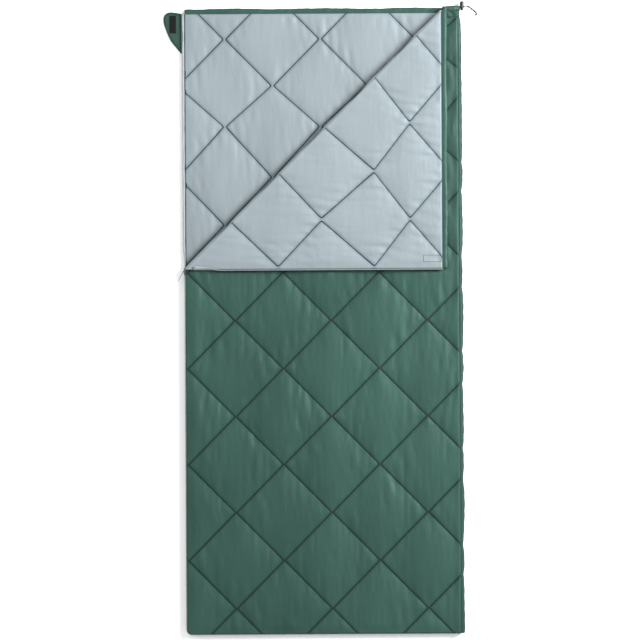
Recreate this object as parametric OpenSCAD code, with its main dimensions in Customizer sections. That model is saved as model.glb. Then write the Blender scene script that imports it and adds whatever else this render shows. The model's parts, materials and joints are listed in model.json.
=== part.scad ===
// Rectangular sleeping bag, lying flat, with its upper corner folded back.
// X runs from the zip side (-) to the folded side (+), Y from foot (-) to head (+), Z up from the floor.
// The origin is on the floor under the middle of the bag. The bag is one quilt folded in half along its
// right side: the base layer below, the cover above, and the cover's zip corner turned over on a crease.

/* [Bag] */
// Length from the foot edge to the head edge
bag_length = 1906; // [1860:2:1950]
// Width of the quilted layers, from the zip edge to where the side fold begins
layer_width = 832; // [812:2:852]
// Thickness of one quilted layer at rest
layer_thick = 12; // [11:0.5:13]
// Height of the space between the two layers
inner_gap = 8; // [7.8:0.1:8.4]
// Thickness of the shell cloth and of the lining cloth
cloth = 0.8; // [0.6:0.1:1]
// Depth of the hem along the head edge
hem_depth = 17; // [15:1:18]
// Radius of the foot corner on the zip side
corner_r = 8; // [6:1:12]

/* [Folded corner] */
// Distance from the head corner to the crease, measured along either edge
fold_reach = 797; // [780:1:800]
// Half the slit left between cover and flap along the crease
crease_gap = 1.5; // [1:0.5:3]

/* [Quilting] */
// Sideways and lengthways step of the zigzag stitch lines
quilt_step = 146; // [120:2:160]
// Width of a row of stitching thread
thread_w = 1.4; // [1:0.2:2]
// How far the thread stands proud of the cloth
thread_h = 0.5; // [0.3:0.1:0.5]
// Distance from the layers' edges to the ends of the stitch lines
quilt_inset = 5; // [2:1:5]
// Gap between the tips of neighbouring zigzags
tip_gap = 6; // [4:1:10]

/* [Zip] */
// Thickness of the zip tape
tape_t = 1; // [0.8:0.1:1]
// Width of each zip tape that shows
tape_w = 9.3; // [8:0.1:9.5]
// Width of one zip coil
coil_w = 2.5; // [2:0.1:2.5]
// Thickness of one zip coil
coil_t = 2.6; // [2:0.1:2.6]
// Length of the slider
slider_l = 22.5; // [20:0.5:24]
// Distance from the slider's top to the crease line at the zip edge, upwards
slider_up = 6; // [4:1:8]
// Length of the outer pull from its pin
pull_outer_l = 33; // [28:1:36]
// Length of the inner pull from its pin
pull_inner_l = 26; // [22:1:28]
// Angle of the outer pull away from the zip line
pull_tilt = 28; // [20:1:35]

/* [Closure tab] */
// Thickness of the tab's doubled cloth
tab_t = 2.5; // [2:0.1:2.5]
// Length of the hook patch and of the loop patch
patch_l = 54; // [46:1:56]
// Width of the hook patch and of the loop patch
patch_w = 20; // [18:1:20]

/* [Drawcord] */
// Diameter of the drawcord
cord_d = 2.6; // [2.2:0.1:2.8]
// Radius of the cord lock's barrel
lock_r = 6.2; // [6:0.1:6.4]
// Travel of the cord lock's button
button_travel = 4; // [3:0.5:4]

/* [Hidden] */
$fn = 48;
e = 0.01;

// plan of the bag
head = bag_length / 2;
foot = -head;
left = 410 - layer_width;
right = 410;
hem_y = head - hem_depth;
side_bulge = 12.5;

// heights
base_top = layer_thick;
cover_low = layer_thick + inner_gap;
cover_top = 2 * layer_thick + inner_gap;
mid_z = layer_thick + inner_gap / 2;

// crease: the line y = x + crease_c, at crease_z
crease_c = head - fold_reach - left;
crease_z = cover_top + 1;
flap_tip_gap = 4;

// the cover's head corner on the folded side is cut away here, so that it clears the cord when it opens
corner_x = 372;
corner_y = 922;

// head hem: depth is hem_depth, and it is thinner than the layers
hem_t = 9;
hem_lift = (layer_thick - hem_t) / 2;
channel_r = 1.6;
drawcord_r = cord_d / 2;

// zip: tapes stand upright against the zip edges, with the coils on their outer side
tape_low = mid_z - 0.7 - tape_w;
coil_low = mid_z - 0.6 - coil_w;
coil_up = mid_z + 0.6;
tape_up = mid_z + 0.7;
side_coil_end = hem_y;
foot_coil_end = 395;
zip_clear = 19;

// slider
slider_top = left + crease_c + slider_up;
slider_mid = slider_top - slider_l / 2;
plate_t = 1.8;
pin_r = 0.8;
pin_bore_r = 0.95;
eye_r = 1.6;
outer_pin_x = left - 8;
inner_pin_x = left + 4.1;

// closure tab
tab_edge_x = left - 10.2;
tab_low = 2.5;
hook_x = left - 47;
hook_y = 906;
loop_x = left + 20;

// drawcord, its corner and its lock
cord_y = 955;
cord_r = cord_d / 2;
strand_up = mid_z + 1.4;
strand_down = mid_z - 1.4;
lock_x = 423.8;
lock_low = 949;
lock_l = 21;
lock_bore_r = 4.5;
button_r = 4.2;
button_low = 942;
button_l = 18;
corner_low_x = 376;
corner_end_x = 416.5;
corner_head = 958;

// routes of the cords, chosen by hand
base_cord_route = [[left + 4, head - 7, 6], [380, head - 7, 6], [395, 947, 8], [404, 950, 12],
    [410, 954, 14.2], [416.4, cord_y, strand_down]];
corner_cord_route = [[378, head - 7, 26], [390, 947, 25.5], [402, 951, 21], [409, 954, 17.8],
    [416.4, cord_y, strand_up]];
tail_up_route = [[corner_end_x, cord_y, strand_up], [434, 955, strand_up], [440.5, 955.4, 17.2],
    [449.4, 952, 16.3], [459.9, 943.7, 15.8], [469.4, 935.2, 15.4]];
tail_down_route = [[corner_end_x, cord_y, strand_down], [434, 955, strand_down], [440.5, 954.6, 14.7],
    [447.6, 949.6, 15], [458.1, 941.3, 15.2], [467.6, 932.8, 15.3]];
tail_end = [468.3, 933.8, 15.4];

// outline of the closure tab from its upper root, round its free edge, to its lower root
tab_route = [[tab_edge_x, 939], [-452, 942], [-472, 943], [-484, 934], [-487, 917], [-481, 893],
    [-466, 858], [-447, 833], [tab_edge_x, 816]];

shell_green = [0.24, 0.40, 0.35];
lining_grey = [0.72, 0.77, 0.79];
fill_white = [0.94, 0.94, 0.92];
tape_grey = [0.83, 0.84, 0.85];
seam_dark = [0.12, 0.20, 0.18];
metal_grey = [0.66, 0.68, 0.70];
plastic_black = [0.08, 0.08, 0.09];

// ---------- curves and swept tubes ----------

// a point on the smooth curve through four neighbouring points, t of the way from b to c
function on_curve(a, b, c, d, t) = 0.5 * (2 * b + (c - a) * t + (2 * a - 5 * b + 4 * c - d) * t * t
    + (3 * b - a - 3 * c + d) * t * t * t);

// a smooth path through points, with n steps between neighbours
function smooth(points, n) = let (last = len(points) - 1) concat(
    [for (i = [0:last - 1], k = [0:n - 1]) on_curve(points[max(i - 1, 0)], points[i], points[i + 1],
        points[min(i + 2, last)], k / n)], [points[last]]);

function unit(v) = v / norm(v);

// the direction of a path at its point i
function heading(path, i) = unit(path[min(i + 1, len(path) - 1)] - path[max(i - 1, 0)]);

// one ring of a tube, square to its heading
function ring(centre, along, r, sides) = let (
    side = unit(cross(along, abs(along[2]) > 0.9 ? [1, 0, 0] : [0, 0, 1])), top = cross(side, along))
    [for (k = [0:sides - 1]) centre + r * (side * cos(360 * k / sides) + top * sin(360 * k / sides))];

module tube(path, r, sides = 10) {
    rings = len(path);
    points = [for (i = [0:rings - 1]) each ring(path[i], heading(path, i), r, sides)];
    walls = [for (i = [0:rings - 2], k = [0:sides - 1]) [i * sides + k, i * sides + (k + 1) % sides,
        (i + 1) * sides + (k + 1) % sides, (i + 1) * sides + k]];
    first = [for (k = [sides - 1:-1:0]) k];
    last = [for (k = [0:sides - 1]) (rings - 1) * sides + k];
    polyhedron(points, concat([first], walls, [last]));
}

// ---------- plans ----------

// the quilt's plan, with its zip edge and foot edge moved in by d
module quilt_plan(d = 0) {
    r = corner_r - d;
    translate([left + d, foot + corner_r]) square([layer_width - d, hem_y - foot - corner_r]);
    translate([left + corner_r, foot + d]) square([layer_width - corner_r, r + e]);
    translate([left + corner_r, foot + corner_r]) circle(r);
}

// everything on the foot side of the crease, set back by gap
module foot_side(gap) {
    c = crease_c - gap * sqrt(2);
    polygon([[left - 60, left - 60 + c], [head + 60 - c, head + 60], [900, head + 60], [900, foot - 60],
        [left - 60, foot - 60]]);
}

// everything on the head side of the crease, set back by gap
module head_side(gap) {
    c = crease_c + gap * sqrt(2);
    polygon([[left - 60, left - 60 + c], [head + 60 - c, head + 60], [left - 60, head + 60]]);
}

module cover_plan(d = 0) {
    difference() {
        intersection() {
            quilt_plan(d);
            foot_side(crease_gap);
        }
        translate([corner_x, corner_y]) square([60, 60]);
    }
}

// blunt at the slider, so that the shell swings clear of it
module flap_plan(d = 0) {
    intersection() {
        quilt_plan(d);
        head_side(crease_gap);
        translate([left, slider_top + flap_tip_gap + d]) square([layer_width, head]);
    }
}

// turns a flap piece over the crease, from where it closes the bag to where it lies folded back
module folded_back() {
    translate([0, crease_c, crease_z]) rotate(180, [1, 1, 0]) translate([0, -crease_c, -crease_z])
        children();
}

module slab(low, high) {
    translate([0, 0, low]) linear_extrude(high - low) children();
}

// ---------- quilting ----------

// band of one zigzag line between column n and column n + 1; x0 is column 0
module zigzag(x0, n) {
    reach = 7;
    odd = n % 2;
    inner = x0 + n * quilt_step + tip_gap / 2;
    outer = x0 + (n + 1) * quilt_step - tip_gap / 2;
    path = [for (j = [-reach:reach]) [(j + odd) % 2 == 0 ? outer : inner, j * quilt_step]];
    w = thread_w * 0.7;
    polygon(concat([for (p = path) p + [w, 0]], [for (j = [2 * reach:-1:0]) path[j] - [w, 0]]));
}

// every stitch line that crosses a plan, as thin ridges; the children give the plan
module stitch_lines(x0, low) {
    slab(low, low + thread_h) intersection() {
        union() for (n = [0:6]) zigzag(x0, n);
        children();
    }
}

// ---------- hems ----------

module hem_section(hole) {
    difference() {
        union() {
            translate([hem_y, hem_lift]) square([hem_depth - hem_t / 2, hem_t]);
            translate([head - hem_t / 2, hem_lift + hem_t / 2]) circle(hem_t / 2);
        }
        translate([head - 7, 6]) circle(hole);
    }
}

// a straight stretch of hem, or of the cord in it, from x0 to x1
module along_head(x0, x1) {
    translate([x0, 0, 0]) rotate([90, 0, 90]) linear_extrude(x1 - x0) children();
}

// ---------- zip ----------

// plan of a strip that follows the zip edge and foot edge, from d0 to d1 outside the layers
module edge_strip(d0, d1, y_end, x_end) {
    translate([left - d1, foot + corner_r]) square([d1 - d0, y_end - foot - corner_r]);
    translate([left + corner_r, foot - d1]) square([x_end - left - corner_r, d1 - d0]);
    difference() {
        translate([left + corner_r, foot + corner_r]) circle(corner_r + d1);
        translate([left + corner_r, foot + corner_r]) circle(corner_r + d0);
        translate([left + corner_r, foot - 20]) square([40, 80]);
        translate([left - 20, foot + corner_r]) square([80, 60]);
    }
}

// ---------- base layer ----------

module base_shell() {
    color(shell_green) difference() {
        slab(0, layer_thick) quilt_plan();
        slab(cloth, layer_thick + 1) quilt_plan(cloth);
    }
}

module base_fill() {
    color(fill_white) slab(cloth, layer_thick - cloth) quilt_plan(cloth);
}

module base_lining() {
    color(lining_grey) slab(layer_thick - cloth, layer_thick) quilt_plan(cloth);
}

module base_quilt_thread() {
    color(seam_dark) stitch_lines(left - 25, base_top) intersection() {
        quilt_plan(quilt_inset);
        translate([left, foot]) square([layer_width - quilt_inset, 2 * head]);
    }
}

module base_head_hem() {
    color(shell_green) along_head(left, 402) hem_section(channel_r);
}

module base_drawcord() {
    color(plastic_black) tube(concat([base_cord_route[0]], smooth([for (i = [1:5]) base_cord_route[i]], 3)),
        drawcord_r);
}

module base_zip_tape() {
    color(tape_grey) slab(tape_low, tape_low + tape_w) edge_strip(0, tape_t, side_coil_end, foot_coil_end);
}

module base_zip_coil() {
    color(metal_grey) slab(coil_low, coil_low + coil_w)
        edge_strip(tape_t, tape_t + coil_t, side_coil_end, foot_coil_end);
}

module base_zip_top_stop() {
    color(metal_grey) translate([left - tape_t - coil_t, hem_y, coil_low]) cube([coil_t, 4, coil_w]);
}

// closes the end of the zip on the foot, next to the side fold
module zip_end_stop() {
    color(metal_grey) translate([foot_coil_end + 3, foot - 4, mid_z - 3.5]) cube([8, 4, 7]);
}

// ---------- side fold ----------

module fold_outline(d) {
    r = 8;
    x = right + side_bulge - r;
    intersection() {
        union() {
            translate([right, d]) square([x - right, cover_top - 2 * d]);
            translate([x - e, r]) square([r - d + e, cover_top - 2 * r]);
            for (z = [r, cover_top - r]) translate([x, z]) circle(r - d);
        }
        translate([right, 0]) square([side_bulge, cover_top]);
    }
}

module along_side() {
    translate([0, hem_y, 0]) rotate([90, 0, 0]) linear_extrude(hem_y - foot) children();
}

module side_fold_shell() {
    color(shell_green) along_side() difference() {
        fold_outline(0);
        fold_outline(cloth);
    }
}

module side_fold_fill() {
    color(fill_white) along_side() difference() {
        fold_outline(cloth);
        translate([right - 1, base_top - cloth]) square([2.3, inner_gap + 2 * cloth]);
    }
}

module side_fold_lining() {
    color(lining_grey) along_side() difference() {
        translate([right, base_top - cloth]) square([1.3, inner_gap + 2 * cloth]);
        translate([right - 1, base_top]) square([1.5, inner_gap]);
    }
}

// the head hem where it turns from the base to the cover; both cords come out of it
module corner_hem() {
    color(shell_green) difference() {
        union() {
            translate([corner_low_x, hem_y, cover_low + hem_lift])
                cube([corner_end_x - corner_low_x, corner_head - hem_y, hem_t]);
            translate([403.5, hem_y, hem_lift])
                cube([corner_end_x - 403.5, corner_head - hem_y, cover_top - 2 * hem_lift]);
        }
        tube(smooth([for (i = [1:5]) base_cord_route[i]], 3), drawcord_r + 0.3);
        tube(smooth(corner_cord_route, 3), drawcord_r + 0.3);
        translate([corner_end_x - 3, cord_y, mid_z]) rotate([0, 90, 0]) cylinder(r = 3.6, h = 4);
    }
}

// the gathered corner of the quilt under that hem
module corner_panel() {
    color(shell_green) translate([corner_low_x, corner_y + 1, cover_low])
        cube([right - corner_low_x, hem_y - corner_y - 1, layer_thick]);
}

module corner_drawcord() {
    color(plastic_black) tube(smooth(corner_cord_route, 3), drawcord_r);
}

// ---------- drawcord tail and its end ----------

module drawcord_tail_upper() {
    color(plastic_black) tube(smooth(tail_up_route, 2), cord_r, 8);
}

module drawcord_tail_lower() {
    color(plastic_black) tube(smooth(tail_down_route, 2), cord_r, 8);
}

module cord_end() {
    color(plastic_black) translate(tail_end) rotate([90, 0, -15]) {
        cylinder(r = 3, h = 6);
        translate([0, 0, 6]) sphere(r = 3);
    }
}

// ---------- cover ----------

module cover_shell() {
    color(shell_green) difference() {
        slab(cover_low, cover_top) cover_plan();
        slab(cover_low - 1, cover_top - cloth) cover_plan(cloth);
    }
}

module cover_fill() {
    color(fill_white) slab(cover_low + cloth, cover_top - cloth) cover_plan(cloth);
}

module cover_lining() {
    color(lining_grey) slab(cover_low, cover_low + cloth) cover_plan(cloth);
}

module cover_stitch_plan() {
    intersection() {
        cover_plan(quilt_inset);
        foot_side(quilt_inset);
        translate([left, foot]) square([layer_width - quilt_inset, 2 * head]);
    }
}

module cover_quilt_thread() {
    color(seam_dark) {
        stitch_lines(left + 4, cover_top) cover_stitch_plan();
        stitch_lines(left + 4, cover_low - thread_h) cover_stitch_plan();
    }
}

module cover_zip_tape() {
    color(tape_grey) slab(tape_up, tape_up + tape_w) edge_strip(0, tape_t, slider_top - 14, foot_coil_end);
}

module cover_zip_coil() {
    color(metal_grey) slab(coil_up, coil_up + coil_w)
        edge_strip(tape_t, tape_t + coil_t, slider_top - 14, foot_coil_end);
}

// ---------- corner flap: drawn where it closes the bag, then folded back ----------

module flap_shell() {
    color(shell_green) folded_back() difference() {
        slab(cover_low, cover_top) flap_plan();
        slab(cover_low - 1, cover_top - cloth) flap_plan(cloth);
    }
}

module flap_fill() {
    color(fill_white) folded_back() slab(cover_low + cloth, cover_top - cloth) flap_plan(cloth);
}

module flap_lining() {
    color(lining_grey) folded_back() slab(cover_low, cover_low + cloth) flap_plan(cloth);
}

module flap_stitch_plan() {
    intersection() {
        flap_plan(quilt_inset);
        head_side(quilt_inset);
    }
}

module flap_quilt_thread() {
    color(seam_dark) folded_back() {
        stitch_lines(left + 4, cover_top) difference() {
            flap_stitch_plan();
            translate([loop_x - 2, hook_y - patch_l / 2 - 2]) square([patch_w + 4, patch_l + 4]);
        }
        stitch_lines(left + 4, cover_low - thread_h) difference() {
            flap_stitch_plan();
            translate([loop_x - 2, hook_y - patch_l / 2 - 2]) square([patch_w + 4, patch_l + 4]);
        }
    }
}

module flap_head_hem() {
    color(shell_green) folded_back() intersection() {
        translate([0, 0, cover_low]) along_head(left, 380) hem_section(channel_r);
        slab(cover_low, cover_top) head_side(crease_gap);
    }
}

module flap_drawcord() {
    color(plastic_black) folded_back()
        translate([left + 4, head - 7, cover_low + 6]) rotate([0, 90, 0])
            cylinder(r = drawcord_r, h = fold_reach - 24);
}

module flap_zip_tape() {
    color(tape_grey) folded_back() translate([left - tape_t, slider_top + zip_clear - 4, tape_up])
        cube([tape_t, side_coil_end - slider_top - zip_clear + 4, tape_w]);
}

module flap_zip_coil() {
    color(metal_grey) folded_back() translate([left - tape_t - coil_t, slider_top + zip_clear, coil_up])
        cube([coil_t, side_coil_end - slider_top - zip_clear, coil_w]);
}

module flap_zip_top_stop() {
    color(metal_grey) folded_back() translate([left - tape_t - coil_t, hem_y, coil_up])
        cube([coil_t, 4, coil_w]);
}

module loop_patch() {
    color(plastic_black) folded_back() translate([loop_x, hook_y - patch_l / 2, cover_top])
        cube([patch_w, patch_l, 1.2]);
}

module loop_patch_stitching() {
    color(seam_dark) folded_back() translate([loop_x, hook_y - patch_l / 2, cover_low - thread_h])
        linear_extrude(thread_h) difference() {
            square([patch_w, patch_l]);
            translate([thread_w, thread_w]) square([patch_w - 2 * thread_w, patch_l - 2 * thread_w]);
        }
}

// ---------- slider and pulls ----------

// two ears with the pin between them; out is +1 towards the zip's outside, -1 inside
module pull_bridge(pin_x, face_x, half) {
    low_x = min(pin_x - 1.1, face_x);
    for (z = [mid_z - half, mid_z + half - 0.9]) translate([low_x, slider_mid - 2, z])
        cube([abs(pin_x - face_x) + 1.1, 4, 0.9]);
    translate([pin_x, slider_mid, mid_z - half]) cylinder(r = pin_r, h = 2 * half);
}

module zip_slider() {
    outer_x = left - 6;
    inner_x = left + 0.4;
    y0 = slider_top - slider_l;
    color(metal_grey) {
        translate([outer_x, y0, mid_z - 5]) cube([plate_t, slider_l, 10]);
        for (z = [mid_z - 5, mid_z + 4.2]) translate([outer_x, y0, z]) cube([plate_t + 2, slider_l, 0.8]);
        translate([inner_x, y0, mid_z - 3.4]) cube([plate_t, slider_l, 6.8]);
        translate([outer_x, slider_top - 7, mid_z - 0.35]) cube([inner_x - outer_x + plate_t, 7, 0.7]);
        pull_bridge(outer_pin_x, outer_x, 3.8);
        translate([inner_x + plate_t, slider_mid - 2, 0]) for (z = [mid_z - 3.4, mid_z + 2.6])
            translate([0, 0, z]) cube([inner_pin_x - inner_x - plate_t + 1, 4, 0.8]);
        translate([inner_pin_x, slider_mid, mid_z - 3.4]) cylinder(r = pin_r, h = 6.8);
    }
}

// a pull pointing down the zip from its pin, with an eye round the pin and a grip hole
module pull(length, width) {
    difference() {
        union() {
            translate([0, 0, -width / 2]) cylinder(r = eye_r, h = width);
            translate([-0.6, -length + width / 2, -width / 2]) cube([1.2, length - width / 2, width]);
            translate([-0.6, -length + width / 2, 0]) rotate([0, 90, 0]) cylinder(r = width / 2, h = 1.2);
        }
        translate([0, 0, -width]) cylinder(r = pin_bore_r, h = 2 * width);
        translate([-2, -length + width / 2, 0]) rotate([0, 90, 0]) cylinder(r = width / 4, h = 4);
    }
}

module pull_outer() {
    color(metal_grey) translate([outer_pin_x, slider_mid, mid_z]) rotate(-pull_tilt)
        pull(pull_outer_l, 5.2);
}

module pull_inner() {
    color(metal_grey) translate([inner_pin_x, slider_mid, mid_z]) pull(pull_inner_l, 4.6);
}

// ---------- closure tab ----------

// the cloth that joins the tab to the base; it rolls up over the zip as the tab turns over
module tab_root() {
    color(shell_green) translate([tab_edge_x, 818, tab_low]) cube([left - tab_edge_x, 119, 1.5]);
}

module tab_cloth() {
    color(shell_green) slab(tab_low, tab_low + tab_t) polygon(smooth(tab_route, 4));
}

// one row of stitching just inside the tab's free edge
module tab_stitching() {
    middle = [-455, 895];
    outer = [for (p = smooth(tab_route, 4)) middle + (p - middle) * 0.93];
    inner = [for (p = smooth(tab_route, 4)) middle + (p - middle) * 0.91];
    color(seam_dark) slab(tab_low + tab_t, tab_low + tab_t + 0.4) difference() {
        polygon(outer);
        polygon(inner);
    }
}

module hook_patch() {
    color(plastic_black) translate([hook_x, hook_y - patch_l / 2, tab_low + tab_t])
        cube([patch_w, patch_l, 1.2]);
}

// ---------- cord lock ----------

// cylinder along Y
module rod(y, r, h) {
    translate([lock_x, y, mid_z]) rotate([-90, 0, 0]) cylinder(r = r, h = h);
}

module cord_lock_barrel() {
    color(plastic_black) difference() {
        union() {
            rod(lock_low, lock_r, lock_l - 1);
            rod(lock_low, lock_r - 1, lock_l);
        }
        rod(lock_low - 1, lock_bore_r, lock_l - 1);
        translate([lock_x - 10, cord_y, mid_z]) rotate([0, 90, 0]) cylinder(r = 3.2, h = 20);
    }
}

// the button's slot lets the cords pass over the whole travel
module cord_lock_button() {
    slot_top = cord_y + cord_r + 0.3;
    slot_low = slot_top - cord_d - 0.6 - button_travel;
    color(plastic_black) difference() {
        union() {
            rod(button_low, button_r - 0.8, button_l);
            rod(button_low + 0.8, button_r, button_l - 0.8);
        }
        translate([lock_x - 6, slot_low, mid_z - 3]) cube([12, slot_top - slot_low, 6]);
    }
}

module cord_lock_spring() {
    turns = 3;
    steps = 12;
    wire = 0.35;
    y0 = button_low + button_l + wire + 0.05;
    length = lock_low + lock_l - 2 - y0 - wire - 0.05;
    path = [for (i = [0:turns * steps]) [lock_x + 3 * cos(360 * i / steps), y0 + length * i / turns / steps,
        mid_z + 3 * sin(360 * i / steps)]];
    color(metal_grey) tube(path, wire, 6);
}

base_shell();
base_fill();
base_lining();
base_quilt_thread();
base_head_hem();
base_drawcord();
base_zip_tape();
base_zip_coil();
base_zip_top_stop();
zip_end_stop();
side_fold_shell();
side_fold_fill();
side_fold_lining();
corner_hem();
corner_panel();
corner_drawcord();
tab_root();
drawcord_tail_upper();
drawcord_tail_lower();
cord_end();
cover_shell();
cover_fill();
cover_lining();
cover_quilt_thread();
cover_zip_tape();
cover_zip_coil();
flap_shell();
flap_fill();
flap_lining();
flap_quilt_thread();
flap_head_hem();
flap_drawcord();
flap_zip_tape();
flap_zip_coil();
flap_zip_top_stop();
loop_patch();
loop_patch_stitching();
zip_slider();
pull_outer();
pull_inner();
tab_cloth();
tab_stitching();
hook_patch();
cord_lock_barrel();
cord_lock_button();
cord_lock_spring();
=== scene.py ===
import json
import math
import random
from collections import namedtuple

import bmesh
import bpy
import numpy as np
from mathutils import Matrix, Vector


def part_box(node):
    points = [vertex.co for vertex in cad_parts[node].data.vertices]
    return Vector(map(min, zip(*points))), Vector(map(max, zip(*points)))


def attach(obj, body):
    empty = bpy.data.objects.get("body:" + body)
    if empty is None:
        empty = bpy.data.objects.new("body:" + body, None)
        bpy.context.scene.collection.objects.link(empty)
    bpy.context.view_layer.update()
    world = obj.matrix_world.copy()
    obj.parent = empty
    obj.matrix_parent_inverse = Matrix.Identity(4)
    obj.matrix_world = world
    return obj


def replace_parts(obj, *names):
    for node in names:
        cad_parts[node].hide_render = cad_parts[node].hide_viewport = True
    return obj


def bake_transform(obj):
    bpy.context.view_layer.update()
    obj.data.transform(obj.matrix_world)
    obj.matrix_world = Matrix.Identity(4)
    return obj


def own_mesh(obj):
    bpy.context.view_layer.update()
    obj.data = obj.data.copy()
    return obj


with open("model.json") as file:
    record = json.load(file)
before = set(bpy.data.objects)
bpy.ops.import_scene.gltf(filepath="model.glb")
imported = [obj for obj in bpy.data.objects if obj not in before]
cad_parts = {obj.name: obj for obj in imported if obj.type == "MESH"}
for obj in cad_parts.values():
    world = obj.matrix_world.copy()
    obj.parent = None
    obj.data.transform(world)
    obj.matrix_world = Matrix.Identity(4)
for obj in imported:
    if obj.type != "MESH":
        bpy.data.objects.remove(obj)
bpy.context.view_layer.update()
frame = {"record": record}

# A rectangular sleeping bag with its corner folded back. Metres, in the CAD frame. Each layer of the bag is
# one closed quilt, puffed by a cloth simulation between its stitch lines.

MM = 0.001

# ---------- places, from the frame ----------

BASE_LOW, BASE_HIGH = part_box("base_shell")
COVER_LOW, COVER_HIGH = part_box("cover_shell")
LEFT, FOOT = BASE_LOW[0], BASE_LOW[1]
RIGHT, HEM_Y = BASE_HIGH[0], BASE_HIGH[1]
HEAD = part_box("base_head_hem")[1][1]
BASE_MID = (BASE_LOW[2] + BASE_HIGH[2]) / 2
COVER_MID = (COVER_LOW[2] + COVER_HIGH[2]) / 2
MID_Z = (BASE_MID + COVER_MID) / 2
FOLD_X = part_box("side_fold_shell")[1][0]
JOINTS = {j["name"]: j for j in frame["record"]["behaviour"]["joints"]}
CREASE_POS = JOINTS["corner_fold"]["pos_m"]
CREASE_C = CREASE_POS[1] - CREASE_POS[0]
CREASE_Z = CREASE_POS[2]
CORNER_LOW, CORNER_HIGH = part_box("corner_hem")

# ---------- quilt pattern ----------

STEP = 146 * MM                 # sideways and lengthways step of the zigzag stitching
COLUMN_0 = LEFT + 4 * MM        # first column of junctions on the cover
BASE_SHIFT = 29 * MM            # the base's pattern lies this much further to the left
SHELL_GAP = 5 * MM              # gap between the tips of two zigzags, on the shell and on the lining
LINING_GAP = 11 * MM
ROWS = np.arange(-7, 8) * STEP
BASE_ROWS = np.array([438, 592, 717, 859, 1000]) * MM    # the head end's rows, let go by the cloth's slack
COVER_ROWS = np.array([438, 570, 730, 839, 960]) * MM
SIM_CELL = STEP / 16
CELL = STEP / 32
EDGE_HALF = 3.2 * MM            # half thickness at the zip and foot edges
SEAM_HALF = 1.8 * MM            # half thickness at a stitch line
SIDE_HALF = 6.8 * MM            # half thickness where a layer meets the side fold
CREASE_HALF = 5.6 * MM          # half thickness where the corner folds back
HEAD_HALF = 4.2 * MM            # half thickness where a layer goes into its hem
PRESSED_HALF = 6.2 * MM         # most half thickness of the cover under the folded corner
THINNEST = 1.2 * MM             # least half thickness anywhere


def pattern_rows(layer):
    """Real places of the pattern's rows on the base or on the cover."""
    rows = ROWS.copy()
    rows[10:] = BASE_ROWS if layer == "base" else COVER_ROWS
    return rows


def pattern(x, y, layer):
    """Pattern coordinates of a point of the base's or the cover's plan."""
    shift = BASE_SHIFT if layer == "base" else 0.0
    return x - COLUMN_0 + shift, np.interp(y, pattern_rows(layer), ROWS)


def stitch_distance(u, v):
    """Distance from a point of the pattern to the nearest diagonal stitch line."""
    a = np.abs(np.mod((u + v) / STEP, 2) - 1)
    b = np.abs(np.mod((u - v) / STEP, 2) - 1)
    return np.minimum(a, b) * STEP / math.sqrt(2)


def junction_distance(u, v):
    """Distance from a point of the pattern to the nearest junction of two zigzags."""
    a = np.mod((u + v) / STEP, 2) - 1
    b = np.mod((u - v) / STEP, 2) - 1
    return np.hypot(a, b) * STEP / math.sqrt(2)


# ---------- cloth simulation ----------

SIM_I = (-2, 98)                # first and last column and row of the simulated sheet
SIM_J = (-107, 107)
SIM_FRAMES = 24


def start_shape(u, v, rng, waves, height):
    """A low dome in each diamond, with faint long wrinkles for the simulation to work on."""
    seam = stitch_distance(u, v)
    rise = 4.5 * MM * (1 - np.exp(-seam / (22 * MM)))
    for _ in range(waves):
        k = 2 * math.pi / (rng.uniform(26, 80) * MM)
        angle = rng.normal(0, 0.22)
        bend = 1.6 * np.sin(v * rng.uniform(5, 16) + rng.uniform(0, 6.28))
        patch_u = np.sin(u * rng.uniform(8, 26) + rng.uniform(0, 6.28))
        patch = 0.5 + 0.5 * patch_u * np.sin(v * rng.uniform(8, 22))
        wave = np.sin((u * math.cos(angle) + v * math.sin(angle)) * k + rng.uniform(0, 6.28) + bend)
        rise = rise + wave * patch * height * np.minimum(1, seam / (9 * MM))
    return rise


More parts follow.
